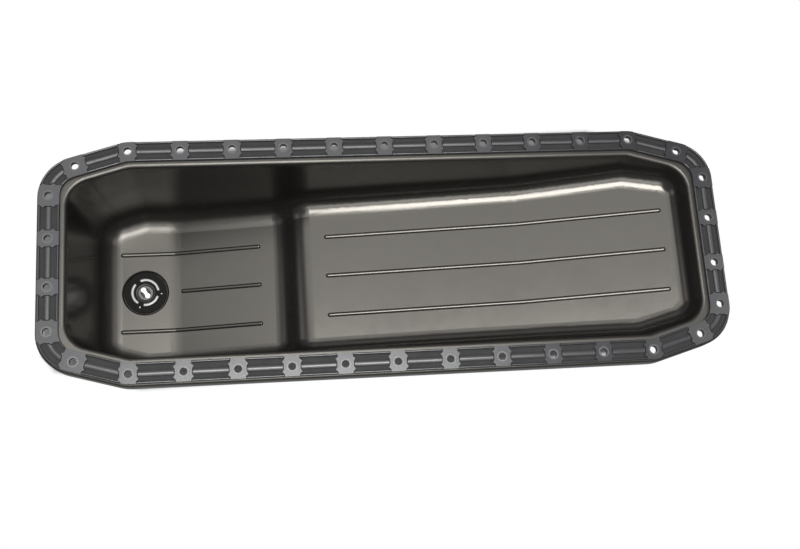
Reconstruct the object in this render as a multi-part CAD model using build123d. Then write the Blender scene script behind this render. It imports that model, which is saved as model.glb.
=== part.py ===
from build123d import *
import os
from math import atan2, cos, radians, sin, tan

os.makedirs("parts", exist_ok=True)

# Engine oil pan with its flange gasket and drain plug, in millimetres.
# The origin is the centre of the bolt pattern on the gasket's top face, where the engine
# block seats. +Z points up to the block, +X to the shallow end, the deep sump is at -X.

# Bolt line: two long rows, one bolt on each chamfer and four across each end
bolt_pitch = 75.0
bolts_per_row = 11
bolt_row_y = 163.2
chamfer_start = 3.0
chamfer_angle = 16.1
chamfer_bolt_run = 74.2
corner_run = 37.7
corner_r = 44.0
end_bolt_gap = 70.4
bolt_hole_r = 5.5

# Gasket: a thin web with two crowned rails, a rib on the bolt line and a pad round each bolt.
# The rib stops short of the pads, and a nick crosses each rail beside them.
gasket_thickness = 6.0
gasket_inner = 15.5
gasket_outer = 14.0
gasket_web = 2.6
rail_width = 3.0
rail_crown = 1.2
rib_width = 8.0
rib_crown = 1.2
rib_gap = 1.3
nick_depth = 1.8
pad_length = 21.0
pad_waist = 23.6
pad_horns = 28.0
horn_offset = 7.5
corner_pad_extra = 8.0
limiter_wall = 2.2

# Pressed sheet: flange with a turned-down lip, and the bend into the mouth of the tub
sheet = 2.5
flange_margin = 3.0
lip_drop = 24.0
lip_bend_r = 3.6
mouth_margin = 8.0
mouth_bend_r = 5.0

# Tub: side walls lean in a little at the sump and more towards the shallow end
sump_depth = 197.0
sump_side_draft = 3.8
shallow_side_draft = 10.8
sump_end_draft = 7.5
shallow_end_draft = 12.0
wall_corner_r = 40.0
chamfer_bend_r = 40.0
floor_r = 30.0

# Floor line along X: level round the drain, a gentle rise, the steep step, the shallow floor
level_floor_margin = 1.2
rise_run = 170.0
rise_height = 33.0
step_run = 29.0
step_height = 30.0
shelf_run = 341.0
shelf_height = 41.5
tail_depth = 36.0
crease_r = 100.0
step_foot_r = 40.0
step_top_r = 50.0

# Stiffening beads pressed up into the floor
bead_pitch = 63.0
bead_r = 3.5
bead_height = 3.0
groove_r = 2.2
shelf_bead_start = 42.0
tail_bead_margin = 34.0
sump_bead_margin = 52.0
middle_bead_start = 12.0
sump_bead_end = 36.0

# Drain: boss welded in the sump floor, with a notched collar round the plug's inner end
drain_from_end = 87.0
boss_disc_r = 33.6
boss_disc_height = 3.0
boss_disc_edge = 1.0
pocket_depth = 3.0
pocket_margin = 0.6
pocket_flare = 2.4
pocket_rim_r = 3.0
pocket_run_out = 4.0
pocket_run_out_rise = 0.8
boss_neck_r = 20.0
boss_drop = 8.0
collar_outer_r = 23.0
collar_inner_r = 17.6
collar_height = 4.5
collar_end_r = 2.4
collar_top_r = 1.9
notch_width = 7.0
notch_angles = (125.0, -6.0, -111.0)
pip_angles = (-6.0, -111.0)
pip_r = 2.2
pip_height = 1.6
bore_mouth_r = 15.2
thread_r = 13.0
thread_depth = 0.9
thread_clearance = 0.1
plug_chamfer = 0.8
plug_end_below_disc = 1.0
plug_flange_r = 19.0
plug_flange_height = 3.0
plug_hex_flats = 30.0
plug_hex_height = 12.0
slot_length = 10.5
slot_width = 3.0
slot_offset = 5.4
slot_depth = 2.5
washer_thickness = 2.0
washer_clearance = 0.3
magnet_lobe_r = 3.7
magnet_half_span = 5.8
magnet_waist = 4.6
magnet_height = 3.2
magnet_stand = 0.8
magnet_angle = -56.0

# Placing of round and box shapes by the middle of their base
ON_BASE = (Align.CENTER, Align.CENTER, Align.MIN)

# Heights
flange_z = -gasket_thickness
floor_z = flange_z - sump_depth
web_z = flange_z + gasket_web

# Bolt line points, for the +X +Y quarter
row_end_x = bolt_pitch * (bolts_per_row - 1) / 2
bend_x = row_end_x + chamfer_start
chamfer_dir = (cos(radians(chamfer_angle)), -sin(radians(chamfer_angle)))
chamfer_normal = (sin(radians(chamfer_angle)), cos(radians(chamfer_angle)))
chamfer_bolt_x = bend_x + chamfer_bolt_run * chamfer_dir[0]
chamfer_bolt_y = bolt_row_y + chamfer_bolt_run * chamfer_dir[1]
corner_x = chamfer_bolt_x + corner_run * chamfer_dir[0]
corner_y = chamfer_bolt_y + corner_run * chamfer_dir[1]
corner_tangent = corner_r * tan(radians((90 - chamfer_angle) / 2))
end_bolt_y = corner_y - corner_tangent

# Mouth of the tub, as the sharp corner under the bend
mouth_inset = gasket_inner + mouth_margin
mouth_x = corner_x - mouth_inset
drain_x = drain_from_end - mouth_x

# Level part of the floor, which ends clear of the drain's pocket
first_crease = crease_r * tan(atan2(rise_height, rise_run) / 2)
pocket_r = boss_disc_r + pocket_margin
pocket_rim = pocket_r + pocket_flare
level_floor_end = drain_from_end + pocket_rim + first_crease + level_floor_margin

# Drain heights
pocket_z = floor_z - pocket_depth
disc_top_z = pocket_z + boss_disc_height
seat_z = pocket_z - sheet - boss_drop
plug_face_z = seat_z - washer_thickness
plug_top_z = disc_top_z - plug_end_below_disc
magnet_base_z = plug_top_z + magnet_stand - magnet_height


def mirrored(corners):
    """Whole ring of points from those of the +Y half, listed from -X to +X."""
    return corners + [(x, -y) for x, y in reversed(corners)]


def outline(grow):
    """Bolt line moved outwards by grow, as a flat face with rounded corners."""
    half = [(-corner_x, corner_y), (-bend_x, bolt_row_y), (bend_x, bolt_row_y), (corner_x, corner_y)]
    face = make_face(Polyline(*mirrored(half), close=True)).face()
    corners = [v for v in face.vertices() if abs(v.X) > bend_x + 1]
    bends = [v for v in face.vertices() if abs(v.X) < bend_x + 1]
    face = face.fillet_2d(corner_r, corners)
    bends = [v for v in face.vertices() for b in bends if v.distance_to(b) < 1]
    face = face.fillet_2d(corner_r, bends)
    return offset(face, grow)


def bolt_places():
    """Place of every bolt, turned so that its X axis runs along the bolt line."""
    places = []
    for side in (-1, 1):
        for i in range(bolts_per_row):
            places.append(Location((i * bolt_pitch - row_end_x, side * bolt_row_y, 0)))
        for end in (-1, 1):
            spot = (end * chamfer_bolt_x, side * chamfer_bolt_y, 0)
            places.append(Location(spot, (0, 0, -side * end * chamfer_angle)))
            for y in (end_bolt_gap / 2, end_bolt_y):
                places.append(Location((end * corner_x, side * y, 0), (0, 0, 90)))
    return places


def is_corner(place):
    """True for the bolts on the chamfers and at the start of the corner arcs."""
    x, y = abs(place.position.X), abs(place.position.Y)
    return x > row_end_x + 1 and y > end_bolt_gap / 2 + 1


def tub_section(z, grow):
    """Level cut through the side and chamfer walls at height z, with sharp corners."""
    depth = flange_z - z
    half = []
    for end, draft in ((-1, sump_side_draft), (1, shallow_side_draft)):
        inset = mouth_inset + depth * tan(radians(draft)) - grow
        y = bolt_row_y - inset
        reach = chamfer_normal[0] * bend_x + chamfer_normal[1] * bolt_row_y - inset
        start = ((reach - chamfer_normal[1] * y) / chamfer_normal[0], y)
        finish = (corner_x, (reach - chamfer_normal[0] * corner_x) / chamfer_normal[1])
        half += [(-finish[0], finish[1]), (-start[0], y)] if end < 0 else [start, finish]
    return Plane.XY.offset(z) * make_face(Polyline(*mirrored(half), close=True)).face()


def floor_line():
    """Points of the floor along X, from the end of the level part to the tail, with radii."""
    x, z = level_floor_end - mouth_x, floor_z
    points = [(x, z, crease_r)]
    for run, rise, radius in (
        (rise_run, rise_height, step_foot_r),
        (step_run, step_height, step_top_r),
        (shelf_run, shelf_height, crease_r),
    ):
        x, z = x + run, z + rise
        points.append((x, z, radius))
    return points


def floor_height(x):
    """Height of the floor at x, for what sits on it."""
    points = [(-mouth_x, floor_z)] + [(x1, z1) for x1, z1, _ in floor_line()] + [tail_end()]
    for (x0, z0), (x1, z1) in zip(points, points[1:]):
        if x <= x1:
            return z0 + (z1 - z0) * (x - x0) / (x1 - x0)


def tail_end():
    """Sharp corner of the rising floor and the shallow end wall."""
    return mouth_x - tail_depth * tan(radians(shallow_end_draft)), flange_z - tail_depth


def floor_profile(grow):
    """Long section of the tub in XZ: end walls and stepped floor, moved outwards by grow."""
    sump_lean = tan(radians(sump_end_draft))
    tail_lean = tan(radians(shallow_end_draft))
    points = floor_line()
    ring = [(-mouth_x - gasket_thickness * sump_lean, 0)]
    ring += [(-mouth_x + sump_depth * sump_lean, floor_z)]
    ring += [(x, z) for x, z, _ in points]
    ring += [tail_end(), (mouth_x + gasket_thickness * tail_lean, 0)]
    face = make_face(Plane.XZ * Polyline(*ring, close=True)).face()
    for x, z, radius in points:
        corner = face.vertices().sort_by_distance(Vector(x, 0, z))[0]
        face = face.fillet_2d(radius, [corner])
    return offset(face, grow, kind=Kind.INTERSECTION).face() if grow else face


def upright_edges(body, near_end):
    """Edges that run down the walls, at the ends or at the chamfers' bends."""
    edges = [e for e in body.edges() if abs(e.tangent_at(0.5).Z) > 0.9]
    limit = (bend_x + mouth_x) / 2
    return [e for e in edges if (abs(e.center().X) > limit) == near_end]


def floor_rim(body):
    """Edges where the floor meets the walls."""
    floor = body.faces().filter_by(lambda f: f.normal_at().Z < -0.5)
    edges = [e for f in floor for e in f.edges()]
    return [e for e in edges if sum(e.is_same(other) for other in edges) == 1]


def tub(grow):
    """Solid that fills the tub: grow 0 is its inside, grow sheet its outside."""
    low = floor_z - floor_r
    block = loft([tub_section(0, grow), tub_section(low, grow)], ruled=True)
    body = block & extrude(floor_profile(grow), 2 * bolt_row_y, both=True)
    body = fillet(upright_edges(body, False), chamfer_bend_r + grow)
    body = fillet(upright_edges(body, True), wall_corner_r + grow)
    body = fillet(floor_rim(body), floor_r + grow)
    if grow:
        above = Box(4 * mouth_x, 4 * mouth_x, 4 * gasket_thickness, align=ON_BASE)
        body -= Pos(0, 0, flange_z - grow / 2) * above
    return body


def bead(x_start, x_end, y, radius, lift):
    """Round bar along the floor, with ball ends and a ball at each crease it crosses."""
    stops = [x_start] + [x for x, _, _ in floor_line() if x_start < x < x_end] + [x_end]
    points = [Vector(x, y, floor_height(x) + lift) for x in stops]
    bar = Part() + [Pos(*p) * Sphere(radius) for p in points]
    for a, b in zip(points, points[1:]):
        bar += Solid.make_cylinder(radius, (b - a).length, Plane(a, z_dir=b - a))
    return bar


def beads(radius, lift):
    """All floor beads: three on the shallow floor, two long and one short in the sump."""
    line = floor_line()
    shelf_start = line[2][0] + shelf_bead_start
    tail_stop = mouth_x - tail_bead_margin
    sump_stop = line[1][0] - sump_bead_end
    bars = []
    for i in (-1, 0, 1):
        bars.append(bead(shelf_start, tail_stop, i * bead_pitch, radius, lift))
        sump_start = line[0][0] + middle_bead_start if i == 0 else sump_bead_margin - mouth_x
        bars.append(bead(sump_start, sump_stop, i * bead_pitch, radius, lift))
    return bars


def drain_pocket(grow):
    """Round pocket in the sump floor, with a rolled rim: grow 0 is its inside."""
    rim, out = pocket_rim, pocket_rim + pocket_run_out
    top_z = floor_z + pocket_run_out_rise
    side = [(pocket_r, pocket_z), (rim, floor_z), (out, top_z), (out, top_z + sheet)]
    ring = side + [(-x, z) for x, z in reversed(side)]
    face = make_face(Plane.XZ * Polyline(*ring, close=True)).face()
    rims = [v for v in face.vertices() if abs(v.Z - floor_z) < pocket_run_out_rise / 2]
    face = face.fillet_2d(pocket_rim_r, rims)
    face = offset(face, grow, kind=Kind.INTERSECTION) if grow else face
    half = face & Plane.XZ * Pos(2 * out, 0) * Rectangle(4 * out, 8 * abs(floor_z))
    return Pos(drain_x, 0, 0) * revolve(half, Axis.Z)


def make_oil_pan():
    """One pressing: lip, flange, bend, walls, stepped floor, beads, drain pocket and hole."""
    edge = gasket_outer + flange_margin
    pan = Pos(0, 0, flange_z - sheet) * extrude(outline(edge), sheet)
    lip = outline(edge) - outline(edge - sheet)
    pan += Pos(0, 0, flange_z - lip_drop) * extrude(lip, lip_drop)
    pan += tub(sheet) + drain_pocket(sheet)
    pan -= tub(0) + drain_pocket(0)
    top = pan.faces().filter_by(Axis.Z).filter_by_position(Axis.Z, flange_z - 0.01, flange_z + 0.01)[0]
    pan = fillet(top.inner_wires()[0].edges(), mouth_bend_r)
    top = pan.faces().filter_by(Axis.Z).filter_by_position(Axis.Z, flange_z - 0.01, flange_z + 0.01)[0]
    pan = fillet(top.outer_wire().edges(), lip_bend_r)
    under_z = flange_z - sheet
    under = pan.faces().filter_by(Axis.Z).filter_by_position(Axis.Z, under_z - 0.01, under_z + 0.01)[0]
    pan = fillet(under.inner_wires()[0].edges(), mouth_bend_r - sheet)
    under = pan.faces().filter_by(Axis.Z).filter_by_position(Axis.Z, under_z - 0.01, under_z + 0.01)[0]
    pan = fillet(under.outer_wire().edges(), lip_bend_r - sheet)
    for bar in beads(bead_r, bead_height - bead_r):
        pan += bar
    for bar in beads(groove_r, -sheet):
        pan -= bar
    holes = [place * Pos(0, 0, flange_z) * Cylinder(bolt_hole_r, 4 * sheet) for place in bolt_places()]
    pan -= holes
    pan -= Pos(drain_x, 0, pocket_z) * Cylinder(boss_neck_r, 4 * sheet)
    return pan


def pad_shape(place):
    """Plan of the gasket's pad round one bolt, drawn from the inner to the outer rail."""
    extra = corner_pad_extra if is_corner(place) else 0
    rails, horns, waist = ((width + extra) / 2 for width in (pad_length, pad_horns, pad_waist))
    edge = gasket_outer - rail_width
    side = [(rails, gasket_inner + rail_width), (rails, edge)]
    side += [(horns, horn_offset), (waist, rib_width / 2)]
    side += [(x, -y) for x, y in reversed(side)]
    ring = side + [(-x, y) for x, y in reversed(side)]
    return place * make_face(Polyline(*ring, close=True)).face()


def ridge(middle, width, crown):
    """Closed ridge round the gasket at that offset from the bolt line, with a crowned top."""
    path = outline(middle).face().outer_wire()
    along = path % 0
    plane = Plane(path @ 0, x_dir=Vector(-along.Y, along.X, 0), z_dir=along)
    half = width / 2
    ring = Polyline((half, -crown), (half, web_z), (-half, web_z), (-half, -crown))
    ring += ThreePointArc((-half, -crown), (0, 0), (half, -crown))
    return sweep(plane * make_face(ring), path=path)


def make_gasket():
    """Moulded gasket: web, crowned rails and rib, and flat pads, with holes for the limiters."""
    whole = outline(gasket_outer) - outline(-gasket_inner)
    web = Pos(0, 0, flange_z) * extrude(whole, gasket_web)
    pads = Sketch() + [pad_shape(place) for place in bolt_places()]
    round_pads = offset(pads, rib_gap)
    ridges = ridge(0, rib_width, rib_crown) - Pos(0, 0, web_z) * extrude(round_pads, -web_z)
    nicks = Pos(0, 0, -nick_depth) * extrude(round_pads, nick_depth)
    for middle in (gasket_outer - rail_width / 2, rail_width / 2 - gasket_inner):
        ridges += ridge(middle, rail_width, rail_crown) - nicks
    gasket = web + ridges + Pos(0, 0, web_z) * extrude(pads & whole, -web_z)
    holes = [place * Circle(bolt_hole_r + limiter_wall) for place in bolt_places()]
    gasket -= Pos(0, 0, flange_z) * extrude(Sketch() + holes, gasket_thickness)
    return gasket


def make_limiters():
    """Steel sleeves moulded into the pads, which stop the bolts from crushing the gasket."""
    ring = Circle(bolt_hole_r + limiter_wall) - Circle(bolt_hole_r)
    sleeve = extrude(ring, gasket_thickness)
    return Compound(children=[place * Pos(0, 0, flange_z) * sleeve for place in bolt_places()])


def make_boss():
    """Drain boss: disc in the pocket, notched collar, neck through the floor and seat below."""
    boss = Pos(0, 0, pocket_z) * extrude(Circle(boss_disc_r), boss_disc_height)
    boss = chamfer(boss.edges().sort_by(Axis.Z)[-1], boss_disc_edge)
    ring = Circle(collar_outer_r) - Circle(collar_inner_r)
    for angle in notch_angles:
        ring -= Rot(0, 0, angle) * Pos(collar_outer_r, 0) * Rectangle(collar_outer_r, notch_width)
    collar = extrude(fillet(ring.vertices(), collar_end_r), collar_height)
    collar = fillet(collar.edges().group_by(Axis.Z)[-1], collar_top_r)
    boss += Pos(0, 0, disc_top_z) * collar
    pip = Cone(pip_r, pip_r / 2, pip_height, align=ON_BASE)
    pip = Pos(collar_outer_r + pip_r, 0, disc_top_z) * pip
    for angle in pip_angles:
        boss += Rot(0, 0, angle) * pip
    boss += Pos(0, 0, seat_z) * extrude(Circle(boss_neck_r), pocket_z - seat_z)
    boss -= Pos(0, 0, seat_z) * extrude(Circle(thread_r), disc_top_z - seat_z)
    mouth = bore_mouth_r - thread_r
    boss -= Pos(0, 0, disc_top_z - mouth) * Cone(thread_r, bore_mouth_r, mouth, align=ON_BASE)
    return Pos(drain_x, 0, 0) * boss


def make_plug():
    """Drain plug: shank at the thread's root, sealing flange and hexagon below, recessed end."""
    shank_r = thread_r - thread_clearance - thread_depth
    shank = Pos(0, 0, plug_face_z) * extrude(Circle(shank_r), plug_top_z - plug_face_z)
    shank = chamfer(shank.edges().sort_by(Axis.Z)[-1], plug_chamfer)
    plug = shank + Pos(0, 0, plug_face_z) * extrude(Circle(plug_flange_r), -plug_flange_height)
    hexagon = RegularPolygon(plug_hex_flats / 2, 6, major_radius=False)
    head_z = plug_face_z - plug_flange_height
    plug += Pos(0, 0, head_z) * extrude(hexagon, -plug_hex_height)
    slots = [Pos(0, side * slot_offset) * SlotOverall(slot_length, slot_width) for side in (-1, 1)]
    plug -= Pos(0, 0, plug_top_z) * Rot(0, 0, magnet_angle) * extrude(Sketch() + slots, -slot_depth)
    plug -= Pos(0, 0, magnet_base_z) * extrude(magnet_outline(), magnet_height)
    return Pos(drain_x, 0, 0) * plug


def make_washer():
    """Sealing washer between the plug's flange and the boss's seat."""
    ring = Circle(plug_flange_r) - Circle(thread_r + washer_clearance)
    return Pos(drain_x, 0, plug_face_z) * extrude(ring, washer_thickness)


def magnet_outline():
    """Bar with two round lobes, turned as the plug stands when it is tight."""
    bar = Rectangle(2 * magnet_half_span, magnet_waist)
    for end in (-1, 1):
        bar += Pos(end * magnet_half_span, 0) * Circle(magnet_lobe_r)
    return Rot(0, 0, magnet_angle) * bar


def make_magnet():
    """Bar magnet bonded in a seat of its own shape, a little proud of the plug's inner end."""
    return Pos(drain_x, 0, magnet_base_z) * extrude(magnet_outline(), magnet_height)


nodes = {
    "oil_pan": make_oil_pan(),
    "pan_gasket": make_gasket(),
    "gasket_limiters": make_limiters(),
    "drain_boss": make_boss(),
    "drain_plug": make_plug(),
    "plug_washer": make_washer(),
    "plug_magnet": make_magnet(),
}
for name, solid in nodes.items():
    export_step(solid, f"parts/{name}.step")
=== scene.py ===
from math import cos, radians, sin

import bpy
from mathutils import Matrix, Vector


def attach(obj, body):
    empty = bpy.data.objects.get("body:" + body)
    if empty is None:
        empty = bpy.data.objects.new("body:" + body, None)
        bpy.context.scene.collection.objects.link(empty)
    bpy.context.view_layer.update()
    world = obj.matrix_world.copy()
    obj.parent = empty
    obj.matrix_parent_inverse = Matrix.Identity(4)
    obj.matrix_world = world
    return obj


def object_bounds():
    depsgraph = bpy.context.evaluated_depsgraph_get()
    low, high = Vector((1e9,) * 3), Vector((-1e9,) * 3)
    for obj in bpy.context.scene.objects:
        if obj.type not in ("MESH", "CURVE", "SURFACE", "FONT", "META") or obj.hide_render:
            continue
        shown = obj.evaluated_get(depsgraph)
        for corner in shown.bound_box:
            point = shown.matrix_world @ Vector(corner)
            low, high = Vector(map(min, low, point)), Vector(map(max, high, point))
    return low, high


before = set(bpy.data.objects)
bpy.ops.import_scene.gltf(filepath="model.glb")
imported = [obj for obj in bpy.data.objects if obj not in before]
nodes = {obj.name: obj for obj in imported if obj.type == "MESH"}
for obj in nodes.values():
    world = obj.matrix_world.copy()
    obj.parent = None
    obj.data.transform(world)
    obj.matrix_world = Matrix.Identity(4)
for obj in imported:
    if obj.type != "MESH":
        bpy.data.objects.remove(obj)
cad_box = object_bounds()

scene = bpy.context.scene
scene.view_settings.view_transform = "Standard"

# Camera
# It stands above the sump's near side and looks down on the pan. The view was solved from the
# bolt holes, with the picture's middle as its centre, so the lens has no shift.
camera = bpy.data.objects.new("camera", bpy.data.cameras.new("camera"))
scene.collection.objects.link(camera)
camera.data.sensor_width = 36
camera.data.lens = 48.08
stand = Vector((-0.1702, -0.4111, 1.4889))
right = Vector((0.99246, -0.06483, 0.10404))
back = Vector((-0.1168, -0.2423, 0.9631)).normalized()
up = back.cross(right).normalized()
turn = Matrix((up.cross(back), up, back)).transposed().to_4x4()
camera.matrix_world = Matrix.Translation(stand) @ turn
scene.camera = camera


# World
# A dim, faintly blue light fills the studio, and reflections see it too. The camera itself sees
# plain white past the floor.
def choose(tree, factor, usual, other):
    """Shows the usual shader, and the other one where the factor is 1."""
    node = tree.nodes.new("ShaderNodeMixShader")
    for socket, value in zip(node.inputs, (factor, usual, other)):
        tree.links.new(value, socket)
    return node.outputs[0]


world = bpy.data.worlds.new("studio")
scene.world = world
world.use_nodes = True
tree = world.node_tree
tree.nodes.clear()
path = tree.nodes.new("ShaderNodeLightPath")
dim = tree.nodes.new("ShaderNodeBackground")
dim.inputs["Color"].default_value = (0.92, 0.95, 1.0, 1)
dim.inputs["Strength"].default_value = 0.2
white = tree.nodes.new("ShaderNodeBackground")
white.inputs["Color"].default_value = (1.0, 1.0, 1.0, 1)
seen = choose(tree, path.outputs["Is Camera Ray"], dim.outputs[0], white.outputs[0])
tree.links.new(seen, tree.nodes.new("ShaderNodeOutputWorld").inputs["Surface"])


# Lights
# One broad soft panel overhead, whose reflection lies on the floors and the near half of the
# gasket. Over its near edge hangs a smaller and brighter one, the strip, which draws the line of
# light along the far floor radius. Four more in front, past the shallow end, behind and past the
# sump's end fill the floor's other radii. All of them fade towards their edges.
def calc(tree, operation, a, b=0.0):
    """Math node on two sockets or numbers."""
    node = tree.nodes.new("ShaderNodeMath")
    node.operation = operation
    for socket, value in zip(node.inputs, (a, b)):
        if isinstance(value, (int, float)):
            socket.default_value = value
        else:
            tree.links.new(value, socket)
    return node.outputs[0]


def axis(tree, vector, letter):
    """One axis, X, Y or Z, of a vector."""
    node = tree.nodes.new("ShaderNodeSeparateXYZ")
    tree.links.new(vector, node.inputs[0])
    return node.outputs[letter]


def span(tree, value, start, end, low=0.0, high=1.0, kind="LINEAR"):
    """Spreads the values from start to end over low to high, and stops there."""
    node = tree.nodes.new("ShaderNodeMapRange")
    node.interpolation_type = kind
    limits = {"From Min": start, "From Max": end, "To Min": low, "To Max": high}
    for label, limit in limits.items():
        node.inputs[label].default_value = limit
    tree.links.new(value, node.inputs["Value"])
    return node.outputs["Result"]


# Each lamp has its name, place, the point that it faces, its two sides in metres, its watts and
# the share of a side over which it fades.
lamps = (
    ("panel", (-0.6, 0.7, 2.3), (-0.6, 0.7, 0.0), (3.6, 1.8), 38, 0.22),
    ("strip", (-0.1, -0.41, 2.3), (-0.1, -0.37, 0.0), (1.6, 1.32), 96, 0.18),
    ("front", (-0.2, -1.65, 2.05), (-0.2, 0.0, -0.1), (2.6, 1.5), 48, 0.45),
    ("side", (1.7, 0.3, 2.0), (-0.4, 0.0, -0.15), (1.6, 1.8), 22, 0.45),
    ("back", (-0.2, 2.6, 1.7), (0.0, 0.0, -0.05), (3.4, 1.6), 8, 0.45),
    ("left", (-3.0, 0.3, 1.5), (0.2, 0.0, -0.05), (1.8, 1.8), 14, 0.45),
)
# A side is folded at its middle, so that it fades from both ends.
middle = 0.5
for name, spot, aim, sides, watts, fade in lamps:
    lamp = bpy.data.lights.new(name, "AREA")
    lamp.shape = "RECTANGLE"
    lamp.size, lamp.size_y = sides
    lamp.energy = watts
    lamp.use_nodes = True
    tree = lamp.node_tree
    place = tree.nodes.new("ShaderNodeNewGeometry").outputs["Parametric"]
    levels = []
    for letter in "XY":
        inward = calc(tree, "PINGPONG", axis(tree, place, letter), middle)
        levels.append(span(tree, inward, 0.0, fade, kind="SMOOTHSTEP"))
    tree.links.new(calc(tree, "MULTIPLY", *levels), tree.nodes["Emission"].inputs["Strength"])
    holder = bpy.data.objects.new(name, lamp)
    scene.collection.objects.link(holder)
    holder.location = spot
    holder.rotation_euler = (Vector(aim) - Vector(spot)).to_track_quat("-Z", "Y").to_euler()

# Floor
# A board just below the drain plug. The camera sees it as plain white, except for a grey patch of
# painted shade in the pan's outline, which the pan covers in the front view: no shadow shows
# round the pan there, and the grey darkens the pan's real shadow under it, so the bolt holes look
# dark. From other sides the patch looks like a shadow with straight edges. Reflections see the
# whole board as a dim white.
plug_clearance = 0.002
board_size = 30
patch_shift, patch_turn = 0.061, radians(1.5)
patch_half_length, patch_half_width = 0.541, 0.196
chamfer = radians(16.1)
# Each other side of the patch has its shares of X and Y, and how far out it lies.
patch_sides = (
    (0.0, 1.0, patch_half_width),
    (sin(chamfer), cos(chamfer), 0.297),
    (0.8, 0.6, 0.513),
)
edge_inside, edge_outside = -0.003, 0.010
# Painted shade: the patch's grey makes the shadow under the pan, and the bolt holes, darker.
painted_shade_grey = (0.2, 0.2, 0.2, 1)
reflected_strength = 0.3
bpy.ops.mesh.primitive_plane_add(
    size=board_size, location=(0, 0, cad_box[0][2] - plug_clearance)
)
board = bpy.context.object
board.name = "floor"
board_paint = bpy.data.materials.new("floor_white")
board_paint.use_nodes = True
tree = board_paint.node_tree
tree.nodes.clear()
patch = tree.nodes.new("ShaderNodeMapping")
patch.vector_type = "TEXTURE"
patch.inputs["Location"].default_value = (0, patch_shift, 0)
patch.inputs["Rotation"].default_value = (0, 0, patch_turn)
coords = tree.nodes.new("ShaderNodeTexCoord").outputs["Object"]
tree.links.new(coords, patch.inputs["Vector"])
along = calc(tree, "ABSOLUTE", axis(tree, patch.outputs[0], "X"))
across = calc(tree, "ABSOLUTE", axis(tree, patch.outputs[0], "Y"))
reach = calc(tree, "SUBTRACT", along, patch_half_length)
for x_share, y_share, limit in patch_sides:
    from_x = calc(tree, "MULTIPLY", along, x_share)
    from_y = calc(tree, "MULTIPLY", across, y_share)
    past = calc(tree, "SUBTRACT", calc(tree, "ADD", from_x, from_y), limit)
    reach = calc(tree, "MAXIMUM", reach, past)
outside = span(tree, reach, edge_inside, edge_outside, kind="SMOOTHSTEP")
path = tree.nodes.new("ShaderNodeLightPath")
matt = tree.nodes.new("ShaderNodeBsdfDiffuse")
matt.inputs["Color"].default_value = painted_shade_grey
white = tree.nodes.new("ShaderNodeEmission")
dim = tree.nodes.new("ShaderNodeEmission")
dim.inputs["Strength"].default_value = reflected_strength
blank = calc(tree, "MULTIPLY", outside, path.outputs["Is Camera Ray"])
seen = choose(tree, blank, matt.outputs[0], white.outputs[0])
seen = choose(tree, path.outputs["Is Glossy Ray"], seen, dim.outputs[0])
tree.links.new(seen, tree.nodes.new("ShaderNodeOutputMaterial").inputs["Surface"])
board.data.materials.append(board_paint)


# Oil pan
# One pressing of 2.5 mm steel, dipped in black paint that dries to a soft gloss with a faint
# orange peel. The paint is duller deep in the sump and where the wall bends into the flange.
def surface(name, colour, metallic=0.0):
    """New Principled material, with its tree, shader and Object coordinates."""
    material = bpy.data.materials.new(name)
    material.use_nodes = True
    tree = material.node_tree
    shader = tree.nodes["Principled BSDF"]
    shader.inputs["Base Color"].default_value = (*colour, 1)
    shader.inputs["Metallic"].default_value = metallic
    coords = tree.nodes.new("ShaderNodeTexCoord").outputs["Object"]
    return material, tree, shader, coords


def grain(tree, coords, scale, detail):
    """Noise at so many features a metre, as a grey value."""
    noise = tree.nodes.new("ShaderNodeTexNoise")
    noise.inputs["Scale"].default_value = scale
    noise.inputs["Detail"].default_value = detail
    tree.links.new(coords, noise.inputs["Vector"])
    return noise.outputs["Fac"]


def mottle(tree, coords, scale, detail, low, high):
    """Noise, which mostly keeps between 0.3 and 0.7, spread over low to high."""
    return span(tree, grain(tree, coords, scale, detail), 0.3, 0.7, low, high)


def relief(tree, shader, coords, scale, detail, height):
    """Roughens the surface with noise of that height in metres."""
    node = tree.nodes.new("ShaderNodeBump")
    node.inputs["Distance"].default_value = height
    tree.links.new(grain(tree, coords, scale, detail), node.inputs["Height"])
    tree.links.new(node.outputs["Normal"], shader.inputs["Normal"])


# The heights over which the paint dulls, and how much that adds to its roughness.
sump_starts, sump_ends, sump_dulling = -0.11, -0.19, 0.13
bend_starts, bend_ends, bend_dulling = -0.022, -0.008, 0.2
paint, tree, shader, coords = surface("pan_paint", (0.0085, 0.0082, 0.0075))
shader.inputs["Specular IOR Level"].default_value = 0.95
shader.inputs["Specular Tint"].default_value = (1.0, 0.95, 0.86, 1)
level = axis(tree, coords, "Z")
gloss = mottle(tree, coords, scale=9, detail=4, low=0.18, high=0.21)
for dulling in (
    span(tree, level, sump_starts, sump_ends, high=sump_dulling, kind="SMOOTHSTEP"),
    span(tree, level, bend_starts, bend_ends, high=bend_dulling, kind="SMOOTHSTEP"),
    mottle(tree, coords, scale=70, detail=5, low=-0.012, high=0.018),
):
    gloss = calc(tree, "ADD", gloss, dulling)
tree.links.new(gloss, shader.inputs["Roughness"])
relief(tree, shader, coords, scale=500, detail=2, height=0.00001)
nodes["oil_pan"].data.materials[0] = paint


# Gasket
# A moulded rubber ring, clamped between the flange and the engine block. Its grooves are dull,
# and the flat pads round the bolts are polished. Its colour darkens from the pads down into the
# grooves, as painted shade.
def blend(tree, shader, factor, colour):
    """Turns the shader's own colour into another one, by a factor."""
    node = tree.nodes.new("ShaderNodeMix")
    node.data_type = "RGBA"
    own, other, result = node.inputs[6], node.inputs[7], node.outputs[2]
    own.default_value = shader.inputs["Base Color"].default_value
    other.default_value = (*colour, 1)
    tree.links.new(factor, node.inputs["Factor"])
    tree.links.new(result, shader.inputs["Base Color"])


groove_depth = 0.0024
pad_colour_over_painted_groove_shade = (0.022, 0.022, 0.024)
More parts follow.
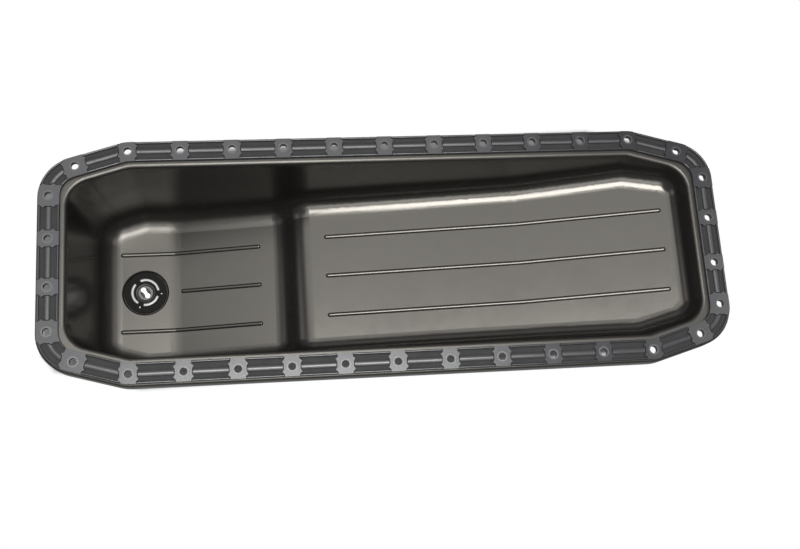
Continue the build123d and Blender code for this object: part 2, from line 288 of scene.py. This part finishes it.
# Height from groove to pad, and the roughness there.
wear = ((0.0, 0.80), (0.45, 0.66), (0.90, 0.42), (1.0, 0.20))
rubber, tree, shader, coords = surface("gasket_rubber", (0.007, 0.007, 0.0075))
shader.inputs["Specular IOR Level"].default_value = 0.7
level = span(tree, axis(tree, coords, "Z"), -groove_depth, 0.0)
worn = tree.nodes.new("ShaderNodeFloatCurve")
tree.links.new(level, worn.inputs["Value"])
curve = worn.mapping.curves[0]
curve.points[0].location = wear[0]
curve.points[1].location = wear[-1]
for point in wear[1:-1]:
    curve.points.new(*point)
worn.mapping.update()
smear = mottle(tree, coords, scale=45, detail=4, low=-0.03, high=0.04)
tree.links.new(calc(tree, "ADD", worn.outputs["Value"], smear), shader.inputs["Roughness"])
# Painted shade: the rubber's colour goes from the lighter pads down to near black in the grooves.
blend(tree, shader, level, pad_colour_over_painted_groove_shade)
relief(tree, shader, coords, scale=900, detail=2, height=0.00002)
nodes["pan_gasket"].data.materials[0] = rubber

# Compression limiters
# Short steel sleeves, blackened against rust. One is moulded into each pad of the gasket, so that
# a tight bolt can't crush the rubber.
steel, tree, shader, coords = surface("limiter_steel", (0.09, 0.09, 0.093), metallic=0.7)
gloss = mottle(tree, coords, scale=300, detail=3, low=0.3, high=0.45)
tree.links.new(gloss, shader.inputs["Roughness"])
nodes["gasket_limiters"].data.materials[0] = steel

# Drain boss
# A turned steel boss, welded in, with a matt black coat. The collar, the two pips and the rim of
# the bore were faced after coating, so they are bare steel.
drain_x = -0.375
# Heights up to the faced collar and pips, and distances from the bore's axis to its faced rim.
coat_ends, steel_starts = -0.2024, -0.2017
rim_ends, rim_starts = 0.0150, 0.0145
bare_steel = (0.32, 0.32, 0.31)
coat, tree, shader, coords = surface("boss_coat", (0.005, 0.0048, 0.0044))
shader.inputs["Roughness"].default_value = 0.5
shader.inputs["Specular IOR Level"].default_value = 0.08
raised = span(tree, axis(tree, coords, "Z"), coat_ends, steel_starts)
centred = tree.nodes.new("ShaderNodeMapping")
centred.inputs["Location"].default_value = (-drain_x, 0.0, 0.0)
centred.inputs["Scale"].default_value = (1.0, 1.0, 0.0)
tree.links.new(coords, centred.inputs["Vector"])
radius = tree.nodes.new("ShaderNodeVectorMath")
radius.operation = "LENGTH"
tree.links.new(centred.outputs["Vector"], radius.inputs[0])
rim = span(tree, radius.outputs["Value"], rim_ends, rim_starts)
faced = calc(tree, "MAXIMUM", raised, rim)
blend(tree, shader, faced, bare_steel)
tree.links.new(faced, shader.inputs["Metallic"])
relief(tree, shader, coords, scale=600, detail=2, height=0.00002)
nodes["drain_boss"].data.materials[0] = coat

# Drain plug
# Forged and turned steel, blackened all over. Its end was faced after that, so only the two slots
# beside the magnet are black there.
black_ends, facing_starts = -0.2049, -0.2042
faced_steel = (0.10, 0.098, 0.094)
iron, tree, shader, coords = surface("plug_steel", (0.02, 0.02, 0.021), metallic=0.7)
end = span(tree, axis(tree, coords, "Z"), black_ends, facing_starts)
blend(tree, shader, end, faced_steel)
gloss = mottle(tree, coords, scale=240, detail=3, low=0.36, high=0.5)
tree.links.new(gloss, shader.inputs["Roughness"])
relief(tree, shader, coords, scale=500, detail=3, height=0.00004)
nodes["drain_plug"].data.materials[0] = iron

# Plug thread
# The M26 ridge rolled on the plug's shank. Its crest clears the boss's bore by 0.05 mm, and it
# stops short of the flange below and of the chamfer above.
thread_radius, thread_ridge = 0.0121, 0.00085
thread_foot, thread_height, thread_pitch = -0.2176, 0.0119, 0.0015
thread_tree = bpy.data.node_groups.new("thread", "GeometryNodeTree")
sockets = thread_tree.interface
sockets.new_socket("Geometry", in_out="OUTPUT", socket_type="NodeSocketGeometry")
for label, value in (
    ("Middle radius", thread_radius),
    ("Height", thread_height),
    ("Turns", thread_height / thread_pitch),
    ("Ridge", thread_ridge),
):
    sockets.new_socket(label, in_out="INPUT", socket_type="NodeSocketFloat").default_value = value
given = thread_tree.nodes.new("NodeGroupInput")
helix = thread_tree.nodes.new("GeometryNodeCurveSpiral")
helix.inputs["Resolution"].default_value = 64
helix.inputs["Reverse"].default_value = True
thread_tree.links.new(given.outputs["Turns"], helix.inputs["Rotations"])
thread_tree.links.new(given.outputs["Middle radius"], helix.inputs["Start Radius"])
thread_tree.links.new(given.outputs["Middle radius"], helix.inputs["End Radius"])
thread_tree.links.new(given.outputs["Height"], helix.inputs["Height"])
upright = thread_tree.nodes.new("GeometryNodeSetCurveNormal")
upright.mode = "Z_UP"
section = thread_tree.nodes.new("GeometryNodeCurvePrimitiveCircle")
section.inputs["Resolution"].default_value = 4
thread_tree.links.new(given.outputs["Ridge"], section.inputs["Radius"])
ridge = thread_tree.nodes.new("GeometryNodeCurveToMesh")
ridge.inputs["Fill Caps"].default_value = True
thread_tree.links.new(section.outputs["Curve"], ridge.inputs["Profile Curve"])
on_shank = thread_tree.nodes.new("GeometryNodeTransform")
on_shank.inputs["Translation"].default_value = (drain_x, 0.0, thread_foot)
real = thread_tree.nodes.new("GeometryNodeRealizeInstances")
finish = thread_tree.nodes.new("GeometryNodeSetMaterial")
finish.inputs["Material"].default_value = iron
out = thread_tree.nodes.new("NodeGroupOutput")
steps = (helix, upright, ridge, on_shank, real, finish, out)
for before, after in zip(steps, steps[1:]):
    thread_tree.links.new(before.outputs[0], after.inputs[0])
thread = bpy.data.objects.new("plug_thread", bpy.data.meshes.new("plug_thread"))
scene.collection.objects.link(thread)
thread.modifiers.new("thread", "NODES").node_group = thread_tree
finished = thread.evaluated_get(bpy.context.evaluated_depsgraph_get())
shape = bpy.data.meshes.new_from_object(finished)
thread.modifiers.clear()
thread.data = shape
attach(thread, "plug")

# Sealing washer
# A flat ring cut from copper sheet. It is squeezed between the plug's flange and the boss, where
# it keeps the oil in.
copper, tree, shader, coords = surface("washer_copper", (0.72, 0.38, 0.24), metallic=1.0)
gloss = mottle(tree, coords, scale=250, detail=3, low=0.28, high=0.5)
tree.links.new(gloss, shader.inputs["Roughness"])
nodes["plug_washer"].data.materials[0] = copper

# Magnet
# A nickel-plated bar with two lobes, bonded in a seat of its own shape in the plug's end. It
# catches filings from the oil.
nickel, tree, shader, coords = surface("magnet_nickel", (0.85, 0.85, 0.86), metallic=1.0)
shader.inputs["Roughness"].default_value = 0.2
relief(tree, shader, coords, scale=800, detail=2, height=0.00002)
nodes["plug_magnet"].data.materials[0] = nickel
